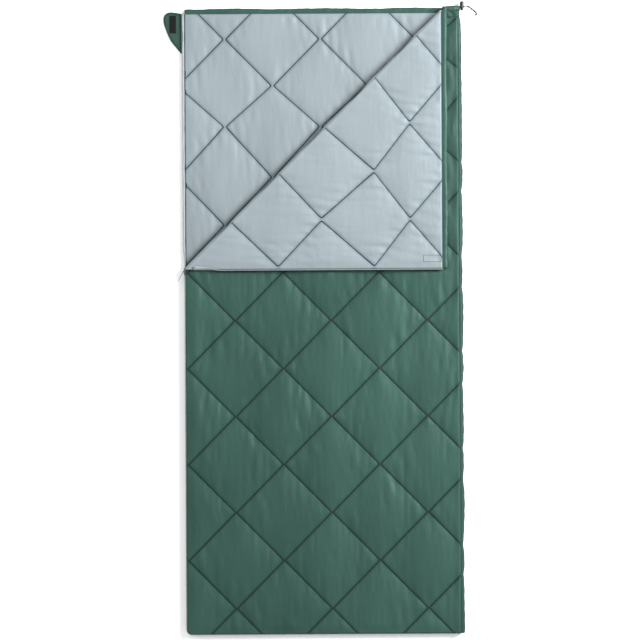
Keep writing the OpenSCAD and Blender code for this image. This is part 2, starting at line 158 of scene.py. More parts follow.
def simulate(name, slack_x, slack_y, pressure, seed):
    """Displacement of a flat sheet, cut too wide, sewn down on its stitch lines and puffed from below."""
    us = np.arange(SIM_I[0], SIM_I[1] + 1) * SIM_CELL
    vs = np.arange(SIM_J[0], SIM_J[1] + 1) * SIM_CELL
    u, v = np.meshgrid(us, vs, indexing="ij")
    rows = len(vs)
    seam = stitch_distance(u, v) < SIM_CELL * 0.3
    rise = start_shape(u, v, np.random.default_rng(seed), 22, 0.55 * MM)
    rise[seam] = 0
    points = np.stack([u, v, rise], axis=-1).reshape(-1, 3)
    n = np.arange(len(us) * rows).reshape(len(us), rows)
    quads = np.stack([n[:-1, :-1], n[1:, :-1], n[1:, 1:], n[:-1, 1:]], axis=-1).reshape(-1, 4)
    mesh = bpy.data.meshes.new(name)
    mesh.from_pydata(points.tolist(), [], quads.tolist())
    sheet = bpy.data.objects.new(name, mesh)
    bpy.context.collection.objects.link(sheet)
    seam[[0, -1], :] = True
    seam[:, [0, -1]] = True
    pins = sheet.vertex_groups.new(name="pins")
    pins.add(n[seam].tolist(), 1.0, "REPLACE")
    sheet.shape_key_add(name="Basis")
    cut = sheet.shape_key_add(name="cut")
    cut.data.foreach_set("co", (points * [1 + slack_x, 1 + slack_y, 1]).reshape(-1))
    cut.value = 0
    cloth = sheet.modifiers.new("cloth", "CLOTH")
    s = cloth.settings
    s.quality = 6
    s.mass = 0.003
    s.tension_stiffness = 15
    s.compression_stiffness = 15
    s.shear_stiffness = 3
    s.bending_stiffness = 0.5
    s.air_damping = 1
    s.vertex_group_mass = "pins"
    s.rest_shape_key = cut
    s.use_pressure = True
    s.uniform_pressure_force = pressure
    s.effector_weights.gravity = 0
    cloth.collision_settings.use_collision = False
    cloth.point_cache.frame_start = 1
    cloth.point_cache.frame_end = SIM_FRAMES + 6
    for f in range(1, SIM_FRAMES + 1):
        bpy.context.scene.frame_set(f)
    ready = sheet.evaluated_get(bpy.context.evaluated_depsgraph_get())
    moved = np.empty(len(points) * 3)
    ready.data.vertices.foreach_get("co", moved)
    bpy.context.scene.frame_set(1)
    bpy.data.objects.remove(sheet)
    bpy.data.meshes.remove(mesh)
    flat = np.stack([u, v, 0 * u], axis=-1).reshape(-1, 3)
    return (moved.reshape(-1, 3) - flat).reshape(len(us), rows, 3)


def sample(field, u, v):
    """The field's displacement at any points of the pattern, read between its grid points."""
    i = np.clip(u / SIM_CELL - SIM_I[0], 0, field.shape[0] - 1.001)
    j = np.clip(v / SIM_CELL - SIM_J[0], 0, field.shape[1] - 1.001)
    i0, j0 = i.astype(int), j.astype(int)
    a, b = (i - i0)[..., None], (j - j0)[..., None]
    near = field[i0, j0] * (1 - b) + field[i0, j0 + 1] * b
    far = field[i0 + 1, j0] * (1 - b) + field[i0 + 1, j0 + 1] * b
    return near * (1 - a) + far * a


SHELL_FIELD = simulate("sim_shell", 0.045, 0.012, 6.0, 3)
LINING_FIELD = simulate("sim_lining", 0.032, 0.010, 5.0, 11)


def ramp(x, low, high):
    """0 below low, 1 above high, smooth between."""
    t = np.clip((x - low) / (high - low), 0, 1)
    return t * t * (3 - 2 * t)


def ramp_at(x, low, high):
    """The same for one plain number."""
    return float(ramp(np.array(x), low, high))


def soft_noise(x, y, scale_x, scale_y, seed):
    """Smooth noise of about -1 to 1, made of a few seeded waves."""
    rng = np.random.default_rng(seed)
    total = 0 * x
    for _ in range(9):
        angle = rng.normal(0, 0.55)
        k = rng.uniform(0.6, 1.6) * 2 * math.pi
        phase = rng.uniform(0, 2 * math.pi, 2)
        bend = 0.6 * np.sin(y / scale_y * k * 0.43 + phase[1])
        way = x * math.cos(angle) / scale_x + y * math.sin(angle) / scale_y
        total = total + np.sin(way * k + phase[0] + bend)
    return total / 4.5


def half_thickness(x, y, face, crease=False, press=None):
    """Sideways shift and half thickness of one face of a quilt at points x, y of its flat plan."""
    u, v = pattern(x, y, face.layer)
    d = sample(face.field, u, v)
    seam = stitch_distance(u, v)
    junction = junction_distance(u, v)
    puff = face.most * np.tanh(np.maximum(d[..., 2], 0) / face.most)
    pucker = soft_noise(x + y * 0.3, y, 13 * MM, 34 * MM, face.seed + 1) * np.exp(-seam / (20 * MM))
    thick = SEAM_HALF + puff + 0.35 * MM * pucker
    drawn_down = np.minimum(thick, SEAM_HALF + 0.6 * MM + junction * 0.16)
    thick = np.where(junction < 14 * MM, drawn_down, thick)
    if press is not None:
        thick = thick * (1 - press) + np.minimum(thick, PRESSED_HALF) * press
    edge = np.minimum(x - LEFT, y - FOOT)
    thick = EDGE_HALF + (thick - EDGE_HALF) * ramp(edge, -4 * MM, 30 * MM)
    side = np.minimum(RIGHT - x, HEM_Y - y)
    thick = SIDE_HALF + (thick - SIDE_HALF) * ramp(RIGHT - x, 0, 22 * MM)
    thick = HEAD_HALF + (thick - HEAD_HALF) * ramp(HEM_Y - y, 0, 16 * MM)
    if crease:
        to_crease = np.abs(y - x - CREASE_C) / math.sqrt(2)
        side = np.minimum(side, to_crease)
        thick = CREASE_HALF + (thick - CREASE_HALF) * ramp(to_crease, 0, 22 * MM)
    calm = ramp(np.minimum(edge, side), 0, 20 * MM)
    thick = np.clip(thick, THINNEST, face.cap)
    return d[..., 0] * calm * 0.8, d[..., 1] * calm * 0.8, thick


def under_flap(x, y):
    """1 where the folded corner lies on the cover, 0 beside it."""
    from_edges = np.minimum(HEAD - CREASE_C - x, y - (LEFT + CREASE_C))
    from_crease = (x + CREASE_C - y) * 0.7
    return ramp(np.minimum(from_edges, from_crease), -16 * MM, 4 * MM)


# ---------- small helpers ----------


def make(name, points, faces, materials, body=None, smooth=True, slots=None):
    """A new piece with its mesh, its finish's slot and, if body is given, the body that it rides on."""
    mesh = bpy.data.meshes.new(name)
    mesh.from_pydata([tuple(map(float, p)) for p in points], [], faces)
    for m in materials:
        mesh.materials.append(m)
    if slots is not None:
        mesh.polygons.foreach_set("material_index", slots)
    mesh.polygons.foreach_set("use_smooth", [smooth] * len(mesh.polygons))
    mesh.update()
    piece = bpy.data.objects.new(name, mesh)
    bpy.context.collection.objects.link(piece)
    if body:
        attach(piece, body)
    return piece


def fold_back(points):
    """Turns points over the crease, from where the corner closes the bag to where it lies folded back."""
    p = np.asarray(points, float)
    return np.stack([p[..., 1] - CREASE_C, p[..., 0] + CREASE_C, 2 * CREASE_Z - p[..., 2]], axis=-1)


def loft(rings, closed=True, caps=True):
    """Points and faces of a surface through rings that all have the same number of points."""
    n = len(rings[0])
    points = [p for ring in rings for p in ring]
    wrap = n if closed else n - 1
    faces = [(i * n + k, i * n + (k + 1) % n, (i + 1) * n + (k + 1) % n, (i + 1) * n + k)
             for i in range(len(rings) - 1) for k in range(wrap)]
    if caps and closed:
        faces.append(tuple(range(n - 1, -1, -1)))
        faces.append(tuple(range((len(rings) - 1) * n, len(rings) * n)))
    return points, faces


def box_faces(n):
    """Faces of box n, whose eight corners are in the order of box_points."""
    order = [(0, 1, 3, 2), (4, 6, 7, 5), (0, 4, 5, 1), (2, 3, 7, 6), (0, 2, 6, 4), (1, 5, 7, 3)]
    return [tuple(8 * n + k for k in face) for face in order]


def box_points(low, high):
    """The eight corners of a box, x slowest and z fastest."""
    return [(x, y, z) for x in (low[0], high[0]) for y in (low[1], high[1]) for z in (low[2], high[2])]


def boxes(name, spans, material, body):
    """Several boxes, given by their low and high corners, in one piece."""
    points = [p for low, high in spans for p in box_points(low, high)]
    faces = [f for n in range(len(spans)) for f in box_faces(n)]
    return make(name, points, faces, [material], body, smooth=False)


def rounded_copy(name, node, material, body, width):
    """A CAD node's own shape with its edges rounded, shown in its place."""
    mesh = bpy.data.objects[node].data.copy()
    mesh.name = name
    mesh.materials.clear()
    mesh.materials.append(material)
    piece = bpy.data.objects.new(name, mesh)
    bpy.context.collection.objects.link(piece)
    bm = bmesh.new()
    bm.from_mesh(mesh)
    bmesh.ops.remove_doubles(bm, verts=bm.verts, dist=1e-6)
    bmesh.ops.dissolve_limit(bm, angle_limit=0.02, verts=bm.verts, edges=bm.edges)
    edges = [e for e in bm.edges if len(e.link_faces) == 2 and e.calc_face_angle(0) > 0.6]
    bmesh.ops.bevel(bm, geom=edges, offset=width, segments=2, affect="EDGES", clamp_overlap=True)
    bm.to_mesh(mesh)
    bm.free()
    for f in mesh.polygons:
        f.use_smooth = f.area < 2e-6
    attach(piece, body)
    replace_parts(piece, node)
    return piece


# ---------- materials ----------

def node_material(name, roughness, sheen=0.0, metallic=0.0):
    """A new material with its node tree and its shader."""
    mat = bpy.data.materials.new(name)
    mat.use_nodes = True
    tree = mat.node_tree
    shader = tree.nodes["Principled BSDF"]
    shader.inputs["Roughness"].default_value = roughness
    shader.inputs["Metallic"].default_value = metallic
    shader.inputs["Sheen Weight"].default_value = sheen
    return mat, tree, shader


def add_node(tree, kind, inputs=(), **settings):
    """A new shader node with its settings, and with a value or a link put into each of its inputs."""
    node = tree.nodes.new("ShaderNode" + kind)
    for name, value in settings.items():
        setattr(node, name, value)
    for name, value in dict(inputs).items():
        if isinstance(value, bpy.types.NodeSocket):
            tree.links.new(value, node.inputs[name])
        else:
            node.inputs[name].default_value = value
    return node


def place(tree, scale):
    """Object coordinates, stretched by scale."""
    coords = add_node(tree, "TexCoord").outputs["Object"]
    return add_node(tree, "Mapping", {"Scale": scale, "Vector": coords}).outputs["Vector"]


def noise_of(tree, scale, size, detail=3.0):
    """Fractal noise on object coordinates that are stretched by scale."""
    inputs = {"Scale": size, "Detail": detail, "Vector": place(tree, scale)}
    return add_node(tree, "TexNoise", inputs).outputs["Fac"]


def ramp_of(tree, fac, stops):
    """Colours along fac, from stops of (position, colour)."""
    node = add_node(tree, "ValToRGB", {"Fac": fac})
    ends = node.color_ramp.elements
    for element, (at, colour) in ((ends[0], stops[0]), (ends[1], stops[-1])):
        element.position = at
        element.color = (*colour, 1)
    for at, colour in stops[1:-1]:
        ends.new(at).color = (*colour, 1)
    return node.outputs["Color"]


def bump(tree, shader, layers):
    """Adds bumps of (height output, strength, distance), one on the other."""
    inputs = {}
    for height, strength, distance in layers:
        inputs.update({"Strength": strength, "Distance": distance, "Height": height})
        inputs["Normal"] = add_node(tree, "Bump", inputs).outputs["Normal"]
    tree.links.new(inputs["Normal"], shader.inputs["Normal"])


def maths(tree, operation, *values):
    """The output of a Math node on outputs or numbers."""
    return add_node(tree, "Math", enumerate(values), operation=operation).outputs[0]


def weave(tree, pitch):
    """Height of a plain weave: warp and weft threads of the given pitch."""
    waves = []
    for direction in ("X", "Y"):
        inputs = {"Scale": 1 / (pitch * 20), "Distortion": 0.4, "Vector": place(tree, (1, 1, 1))}
        waves.append(add_node(tree, "TexWave", inputs, bands_direction=direction).outputs["Fac"])
    return maths(tree, "ADD", *waves)


def rounded_end(tree, value, curve):
    """The value, kept from coming to a point at 0: the root of value squared plus curve squared."""
    square = maths(tree, "MULTIPLY", value, value)
    return maths(tree, "POWER", maths(tree, "ADD", square, curve ** 2), 0.5)


def seam_distance_nodes(tree, tip_gap):
    """Distance to the zigzag stitching, worked out from the plan coordinates that each quilt carries."""
    plan = add_node(tree, "Attribute", attribute_name="plan").outputs["Vector"]
    split = add_node(tree, "SeparateXYZ", {"Vector": plan})
    across = maths(tree, "DIVIDE", split.outputs["X"], STEP)
    column = maths(tree, "FLOOR", across)
    part = maths(tree, "SUBTRACT", across, column)
    climb = maths(tree, "ADD", maths(tree, "DIVIDE", split.outputs["Y"], STEP), column)
    swing = maths(tree, "PINGPONG", climb, 1.0)
    curve = tip_gap * 0.3 / STEP
    swing = rounded_end(tree, swing, curve)
    rest = rounded_end(tree, maths(tree, "SUBTRACT", 1.0, swing), curve)
    swing = maths(tree, "SUBTRACT", 1.0, rest)
    gap = tip_gap * 0.2 / STEP
    line = maths(tree, "SUBTRACT", 1 - gap, maths(tree, "MULTIPLY", swing, 1 - 2 * gap))
    off = maths(tree, "ABSOLUTE", maths(tree, "SUBTRACT", part, line))
    return maths(tree, "MULTIPLY", off, STEP / math.sqrt(2))


def fade(tree, value, near, far):
    """1 at near, 0 at far, smooth between."""
    inputs = {"From Min": near, "From Max": far, "To Min": 1, "To Max": 0, "Value": value}
    return add_node(tree, "MapRange", inputs, interpolation_type="SMOOTHSTEP").outputs[0]


def darken(tree, colour, fac, tint):
    """The colour, multiplied by tint where fac is 1."""
    inputs = {"Factor": fac, "A": colour, "B": (*tint, 1)}
    return add_node(tree, "Mix", inputs, data_type="RGBA", blend_type="MULTIPLY").outputs["Result"]


# Painted shade: this tint darkens the cloth within about 11 mm of each stitch line, where the puffs shade the
# seams.
SEAM_PAINTED_SHADE_TINT = (0.70, 0.76, 0.77)


def cloth_material(name, dark, mid, light, roughness, sheen, crinkle, gloss_tint, seam_thread_and_shade_tint=None, tip_gap=0.0,
                   seam_width=3 * MM):
    """Woven cloth: colour drift, long soft crinkles and a weave. Quilted cloth carries painted shade along
    its seams: a broad soft painted shade, and a narrow dark line that is partly the thread's colour and
    partly painted groove shade.
    """
    mat, tree, shader = node_material(name, roughness, sheen)
    drift = noise_of(tree, (3, 1.2, 3), 2.2, 5.0)
    colour = ramp_of(tree, drift, [(0.3, dark), (0.5, mid), (0.72, light)])
    folds = noise_of(tree, (3.6, 0.8, 2), 11, 3.0)
    fine = noise_of(tree, (2.6, 1, 1), 46, 5.0)
    threads = weave(tree, 0.9 * MM)
    layers = [(folds, crinkle, 7 * MM), (fine, crinkle * 0.6, 1.8 * MM), (threads, 0.10, 0.2 * MM)]
    if seam_thread_and_shade_tint:
        distance = seam_distance_nodes(tree, tip_gap)
        # Painted shade: a broad soft darkening within about 11 mm of the stitch lines.
        colour = darken(tree, colour, fade(tree, distance, 1 * MM, 11 * MM), SEAM_PAINTED_SHADE_TINT)
        # A narrow dark line on the stitch lines: partly the thread's colour, partly painted groove shade.
        colour = darken(tree, colour, fade(tree, distance, 0.45 * seam_width, seam_width), seam_thread_and_shade_tint)
        groove = maths(tree, "SUBTRACT", 1.0, fade(tree, distance, 0.5 * MM, 7 * MM))
        layers.append((groove, 0.35, 1.2 * MM))
    tree.links.new(colour, shader.inputs["Base Color"])
    shader.inputs["Sheen Roughness"].default_value = 0.35
    shader.inputs["Specular IOR Level"].default_value = 0.3
    shader.inputs["Specular Tint"].default_value = (*gloss_tint, 1)
    rough = ramp_of(tree, noise_of(tree, (1, 1, 1), 14, 4.0),
                    [(0.3, (roughness - 0.07,) * 3), (0.7, (roughness + 0.08,) * 3)])
    tree.links.new(rough, shader.inputs["Roughness"])
    bump(tree, shader, layers)
    return mat


def plain_material(name, dark, light, roughness, size, bump_mm, metallic=0.0, sheen=0.0, woven=0.0,
                   gloss=0.5):
    """A moulded, metal or thread finish: two close colours and a fine bump."""
    mat, tree, shader = node_material(name, roughness, sheen, metallic)
    shader.inputs["Specular IOR Level"].default_value = gloss
    fac = noise_of(tree, (1, 1, 1), size, 4.0)
    tree.links.new(ramp_of(tree, fac, [(0.35, dark), (0.65, light)]), shader.inputs["Base Color"])
    layers = [(fac, 0.4, bump_mm * MM)]
    if woven:
        layers.append((weave(tree, woven * MM), 0.5, 0.4 * MM))
    bump(tree, shader, layers)
    return mat


SHELL_COLOURS = ((0.0108, 0.033, 0.0252), (0.0138, 0.0395, 0.0308), (0.017, 0.047, 0.0375))
LINING_COLOURS = ((0.135, 0.160, 0.172), (0.150, 0.177, 0.190), (0.161, 0.190, 0.204))
# Painted shade: the shell's colours at 0.66, a shaded copy of the same cloth for the side strip and the
# corner panel.
SHADED_SIDE_COLOURS = [tuple(0.66 * channel for channel in colour) for colour in SHELL_COLOURS]
SHELL_GLOSS = (0.68, 1.0, 0.9)
LINING_GLOSS = (0.85, 0.95, 1.0)
CRINKLE = 0.22
SHELL = cloth_material("shell_cloth", *SHELL_COLOURS, 0.50, 0.03, CRINKLE, SHELL_GLOSS)
LINING = cloth_material("lining_cloth", *LINING_COLOURS, 0.50, 0.06, CRINKLE, LINING_GLOSS)
SHADED_SIDE_SHELL = cloth_material("side_cloth", *SHADED_SIDE_COLOURS, 0.55, 0.03, CRINKLE, SHELL_GLOSS)
# The quilted materials carry painted shade along their stitch lines, and a dark line that is partly thread
# colour and partly painted shade.
QUILTED_SHELL = cloth_material("quilted_shell", *SHELL_COLOURS, 0.56, 0.03, CRINKLE, SHELL_GLOSS,
                               (0.16, 0.24, 0.22), SHELL_GAP)
QUILTED_LINING = cloth_material("quilted_lining", *LINING_COLOURS, 0.50, 0.06, CRINKLE, LINING_GLOSS,
                                (0.10, 0.11, 0.12), LINING_GAP, 2 * MM)
BLACK = (0.003, 0.003, 0.0035)
WORN_BLACK = (0.012, 0.012, 0.013)
SHELL_THREAD = plain_material("shell_thread", (0.002, 0.009, 0.007), (0.004, 0.014, 0.011), 0.8, 400, 0.2,
                              gloss=0.08)
LINING_THREAD = plain_material("lining_thread", (0.012, 0.015, 0.018), (0.02, 0.025, 0.029), 0.8, 400, 0.2,
                               gloss=0.1)
TAPE = plain_material("zip_tape", (0.178, 0.206, 0.22), (0.205, 0.238, 0.254), 0.75, 90, 0.2, sheen=0.2,
                      woven=0.8)
COIL = plain_material("zip_coil", (0.115, 0.132, 0.141), (0.148, 0.17, 0.182), 0.35, 300, 0.1)
METAL = plain_material("zip_metal", (0.105, 0.121, 0.129), (0.155, 0.179, 0.191), 0.4, 160, 0.05,
                       metallic=0.7)
HOOK = plain_material("hook_and_loop", BLACK, WORN_BLACK, 0.9, 900, 0.9, woven=1.6, gloss=0.12)
PLASTIC = plain_material("lock_plastic", BLACK, (0.006, 0.006, 0.007), 0.42, 260, 0.08, gloss=0.3)
CORD = plain_material("drawcord", BLACK, WORN_BLACK, 0.9, 700, 0.5, woven=1.1, gloss=0.05)
# Painted shade: a colour darker than the shell for the welt, standing for the shadowed gap between the open
# tape and the lining.
WELT_SHADE = plain_material("edge_binding", (0.005, 0.018, 0.014), (0.009, 0.028, 0.022), 0.75, 260, 0.3,
                         woven=0.9, gloss=0.1)
FLOOR = plain_material("floor", (0.83, 0.83, 0.83), (0.85, 0.85, 0.85), 0.9, 3, 0.1)


# ---------- quilts ----------

ROW_FOOT = round(FOOT / CELL)
ROW_HEAD = round(HEM_Y / CELL)
LAST_COLUMN = round((RIGHT - COLUMN_0) / CELL)
CREASE_K = round((CREASE_C + COLUMN_0) / CELL)
CORNER_R = 12 * MM              # radius of the foot corner on the zip side
Face = namedtuple("Face", "field layer most seed cap slot")    # most is the puff's height, cap the greatest
                                                               # half thickness, slot 0 shell and 1 lining


def quilt_grid():
    """Flat plan of one layer: x and y of its grid points, and their column and row numbers."""
    columns = np.arange(-1, LAST_COLUMN + 1)
    rows = np.arange(ROW_FOOT, ROW_HEAD + 1)
    xs = np.clip(COLUMN_0 + columns * CELL, LEFT, RIGHT)
    xs[0], xs[-1] = LEFT, RIGHT
    ys = np.clip(rows * CELL, FOOT, HEM_Y)
    ys[0], ys[-1] = FOOT, HEM_Y
    x, y = np.meshgrid(xs, ys, indexing="ij")
    i, j = np.meshgrid(columns, rows, indexing="ij")
    return x, y, i, j


def round_corner(x, y):
    """Pulls the foot corner on the zip side in, so that it is round."""
    r = CORNER_R
    cx, cy = LEFT + r, FOOT + r
    dx, dy = np.minimum(x - cx, 0), np.minimum(y - cy, 0)
    reach = np.maximum(np.hypot(dx, dy), 1e-9)
    keep = np.minimum(1, np.maximum(np.abs(dx), np.abs(dy)) / reach)
    return cx + dx * keep + np.maximum(x - cx, 0), cy + dy * keep + np.maximum(y - cy, 0)


def plan_faces(x, y, i, j, keep):
    """Faces of the flat grid on the wanted side of the crease: all, cover or flap."""
    wide, tall = x.shape
    number = np.arange(wide * tall).reshape(wide, tall)
    faces = []
    for a in range(wide - 1):
        for b in range(tall - 1):
            k = j[a, b] - i[a, b] - CREASE_K
            corners = [number[a, b], number[a + 1, b], number[a + 1, b + 1], number[a, b + 1]]
            if keep == "cover" and k == 0:
                corners = corners[:3]
            elif keep == "flap" and k == 0:
                corners = [corners[0], corners[2], corners[3]]
            elif (keep == "cover" and k > 0) or (keep == "flap" and k < 0):
                continue
            if keep == "cover" and x[a + 1, b] > CORNER_LOW[0] - 4 * MM and y[a, b + 1] > HEM_Y - 14 * MM:
                continue
            faces.append([int(c) for c in corners])
    return faces


def closed_faces(faces, below, top_slot, bottom_slot):
    """The faces, the same ones below them and the walls between their rims, with each face's slot."""
    edges = {(s, t) for f in faces for s, t in zip(f, f[1:] + f[:1])}
    rim = [(s, t) for f in faces for s, t in zip(f, f[1:] + f[:1]) if (t, s) not in edges]
    solid = list(faces) + [[c + below for c in reversed(f)] for f in faces]
    solid += [[t, s, s + below, t + below] for s, t in rim]
    return solid, [top_slot] * len(faces) + [bottom_slot] * len(faces) + [0] * len(rim)


def quilt(name, body, nodes, mid, top, bottom, keep="all"):
    """One closed quilt between its top and bottom Face. keep picks a side of the crease."""
    x, y, i, j = quilt_grid()
    crease = keep != "all"
    press = under_flap(x, y) if keep == "cover" else None
    rounded_x, rounded_y = round_corner(x, y)
    sides = []
    for face, sign in ((top, 1), (bottom, -1)):
        dx, dy, thick = half_thickness(x, y, face, crease, press if sign > 0 else None)
        layer = np.stack([rounded_x + dx, rounded_y + dy, mid + sign * thick], axis=-1)
        sides.append(layer.reshape(-1, 3))
    solid, slots = closed_faces(plan_faces(x, y, i, j, keep), x.size, top.slot, bottom.slot)
    points = np.concatenate(sides)
    if keep == "flap":
        points = fold_back(points)
    used = sorted({c for f in solid for c in f})
    renumber = {c: n for n, c in enumerate(used)}
    solid = [[renumber[c] for c in f] for f in solid]
    piece = make(name, points[used], solid, [QUILTED_SHELL, QUILTED_LINING], slots=slots)
    u, v = pattern(x, y, top.layer)
    flat = np.stack([u, v, 0 * u], axis=-1).reshape(-1, 3)
    plan = np.concatenate([flat, flat])[used]
    carried = piece.data.attributes.new("plan", "FLOAT_VECTOR", "POINT")
    carried.data.foreach_set("vector", plan.astype(np.float32).reshape(-1))
    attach(piece, body)
    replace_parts(piece, *nodes)


BASE_TOP = Face(LINING_FIELD, "base", 6.2 * MM, 5, 9 * MM, 1)
BASE_BOTTOM = Face(SHELL_FIELD, "base", 4.0 * MM, 6, 5.8 * MM, 0)
COVER_TOP = Face(SHELL_FIELD, "cover", 12 * MM, 8, 13 * MM, 0)
COVER_BOTTOM = Face(LINING_FIELD, "cover", 5.6 * MM, 9, 8 * MM, 1)
FLAP_TOP = Face(SHELL_FIELD, "cover", 4.0 * MM, 8, 6 * MM, 0)
FLAP_BOTTOM = Face(LINING_FIELD, "cover", 6.6 * MM, 9, 9 * MM, 1)

quilt("base_quilt", "base_layer", ["base_shell", "base_fill", "base_lining"], BASE_MID, BASE_TOP, BASE_BOTTOM)
quilt("cover_quilt", "cover", ["cover_shell", "cover_fill", "cover_lining"], COVER_MID,
      COVER_TOP, COVER_BOTTOM, "cover")
quilt("corner_flap_quilt", "corner_flap", ["flap_shell", "flap_fill", "flap_lining"], COVER_MID,
      FLAP_TOP, FLAP_BOTTOM, "flap")


# ---------- stitching ----------

def zigzag_path(n, layer, gap):
    """Points of one zigzag line from the foot up, with rounded tips, in plan."""
    shift = BASE_SHIFT if layer == "base" else 0.0
    inner = COLUMN_0 - shift + n * STEP + gap / 2
    outer = COLUMN_0 - shift + (n + 1) * STEP - gap / 2
    reach = (STEP - gap) / STEP
    near = 7 * MM
    path = []
    for j, y in zip(range(-7, 8), pattern_rows(layer)):
        x, back = (outer, -1) if (j + n) % 2 == 0 else (inner, 1)
        path.append((x + back * near * reach, y - near))
        path.append((x + back * near * 0.25, y - near * 0.3))
        path.append((x + back * near * 0.25, y + near * 0.3))
        path.append((x + back * near * reach, y + near))
    return path


def stitches(name, body, face, sign, mid, inside, material, nodes=(), fold=False, pitch=6.4 * MM):
    """Rows of single stitches that lie on one face of a quilt, wherever inside(x, y) is true."""
    gap = SHELL_GAP if material is SHELL_THREAD else LINING_GAP
    spots = []
    for n in range(-1, 7):
        path = zigzag_path(n, face.layer, gap)
        for (xa, ya), (xb, yb) in zip(path, path[1:]):
            length = math.hypot(xb - xa, yb - ya)
            count = max(1, round(length / pitch))
            for k in range(count):
                t0, t1 = (k + 0.12) / count, (k + 0.88) / count
                start = (xa + (xb - xa) * t0, ya + (yb - ya) * t0)
                spots.append(start + (xa + (xb - xa) * t1, ya + (yb - ya) * t1))
    spots = np.array([s for s in spots if inside(s[0], s[1]) and inside(s[2], s[3])])
    crease = fold or body == "cover"
    ends = []
    for c in (0, 2):
        x, y = spots[:, c], spots[:, c + 1]
        press = under_flap(x, y) if body == "cover" and sign > 0 else None
        _, _, thick = half_thickness(x, y, face, crease, press)
        ends.append(np.stack([x, y, mid + sign * (thick + 0.25 * MM)], axis=-1))
    a, b = ends
    along = b - a
    side = np.stack([-along[:, 1], along[:, 0], 0 * along[:, 0]], axis=-1)
    side *= (0.75 * MM / np.maximum(np.linalg.norm(side, axis=1), 1e-9))[:, None]
    up = np.array([0, 0, 0.55 * MM * sign])
    down = np.array([0, 0, -0.9 * MM * sign])
    ring = [a + side + down, b + side + down, b - side + down, a - side + down,
            a + side * 0.5 + up + along * 0.12, b + side * 0.5 + up - along * 0.12,
            b - side * 0.5 + up - along * 0.12, a - side * 0.5 + up + along * 0.12]
    points = np.stack(ring, axis=1).reshape(-1, 3)
    if fold:
        points = fold_back(points)
    order = [(4, 5, 6, 7), (0, 1, 5, 4), (1, 2, 6, 5), (2, 3, 7, 6), (3, 0, 4, 7), (3, 2, 1, 0)]
    faces = [tuple(8 * s + k for k in f) for s in range(len(spots)) for f in order]
    piece = make(name, points, faces, [material], body)
    if nodes:
        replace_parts(piece, *nodes)


def on_layer(x, y):
    """Whether a point of the plan lies inside a layer's edges and hem."""
    return LEFT + 5 * MM < x < RIGHT - 5 * MM and FOOT + 5 * MM < y < HEM_Y - 3 * MM


def on_cover(x, y):
    """Whether it lies on the cover, off the crease and off the gathered corner."""
    notch = x > CORNER_LOW[0] - 10 * MM and y > HEM_Y - 18 * MM
    return on_layer(x, y) and y < x + CREASE_C - 8 * MM and not notch


def on_flap(x, y):
    """Whether it lies on the folded corner, before the fold and off the crease."""
    return on_layer(x, y) and y > x + CREASE_C + 8 * MM


stitches("base_lining_stitches", "base_layer", BASE_TOP, 1, BASE_MID, on_layer, LINING_THREAD,
         ["base_quilt_thread"])
stitches("base_shell_stitches", "base_layer", BASE_BOTTOM, -1, BASE_MID, on_layer, SHELL_THREAD,
         pitch=12 * MM)
stitches("cover_shell_stitches", "cover", COVER_TOP, 1, COVER_MID, on_cover, SHELL_THREAD,
         ["cover_quilt_thread"])
stitches("cover_lining_stitches", "cover", COVER_BOTTOM, -1, COVER_MID, on_cover, LINING_THREAD, pitch=9 * MM)
stitches("flap_lining_stitches", "corner_flap", FLAP_BOTTOM, -1, COVER_MID, on_flap, LINING_THREAD,
         ["flap_quilt_thread"], fold=True)
stitches("flap_shell_stitches", "corner_flap", FLAP_TOP, 1, COVER_MID, on_flap, SHELL_THREAD,
         fold=True, pitch=12 * MM)


# ---------- folds ----------

def fold_strip(name, material, span, nodes=()):
    """A strip of cloth between two bodies, lofted from rings and thickened."""
    points, faces = loft(span, closed=False, caps=False)
    piece = make(name, points, faces, [material])
    thicken(piece, 0.8 * MM)
    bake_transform(piece)
    if nodes:
        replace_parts(piece, *nodes)


def thicken(piece, amount):
    """Gives a sheet its thickness, for good."""
    bm = bmesh.new()
    bm.from_mesh(piece.data)
    bmesh.ops.recalc_face_normals(bm, faces=bm.faces)
    bmesh.ops.solidify(bm, geom=bm.faces, thickness=amount)
    bm.to_mesh(piece.data)
    bm.free()
    for f in piece.data.polygons:
        f.use_smooth = True


def side_rings(x_in, low, high, bulge, wave):
    """Half-round rings from the base's right edge to the cover's, along the whole side."""
    rings = []
    top = HEM_Y + 7 * MM
    for k in range(271):
        y = FOOT + (top - FOOT) * k / 270
        seam = float(stitch_distance(*pattern(RIGHT, y, "cover")))
        calm = ramp_at(y, HEM_Y - 420 * MM, HEM_Y - 240 * MM)
        swell = 0.8 + 0.3 * (1 - math.exp(-seam / (16 * MM))) * (1 - 0.7 * calm) + 0.2 * calm
        swell += wave * (math.sin(y * 31) * 0.5 + math.sin(y * 167 + 1) * 0.3 + math.sin(y * 13 + 2) * 0.4)
        drawn_in = 1 - 0.2 * ramp_at(y, HEM_Y - 200 * MM, HEM_Y - 40 * MM)
        drawn_in -= 0.25 * ramp_at(y, HEM_Y - 40 * MM, HEM_Y)
        tall = (high - low) / 2 * (0.6 + 0.4 * drawn_in)
        ring = []
        for a in range(17):
            t = math.pi * a / 16
            out = abs(math.sin(t)) ** 0.6 * bulge * swell * drawn_in
            ring.append((x_in - 2 * MM + out, y, (low + high) / 2 - tall * math.cos(t)))
        rings.append(ring)
    return rings


TUCK = 0.6 * MM                 # how far a strip's edge is tucked into the quilt that it joins
SHELL_BOTTOM = BASE_MID - 5.4 * MM
SHELL_TOP = COVER_MID + SIDE_HALF
LINING_LOW = BASE_MID + SIDE_HALF
LINING_HIGH = COVER_MID - SIDE_HALF
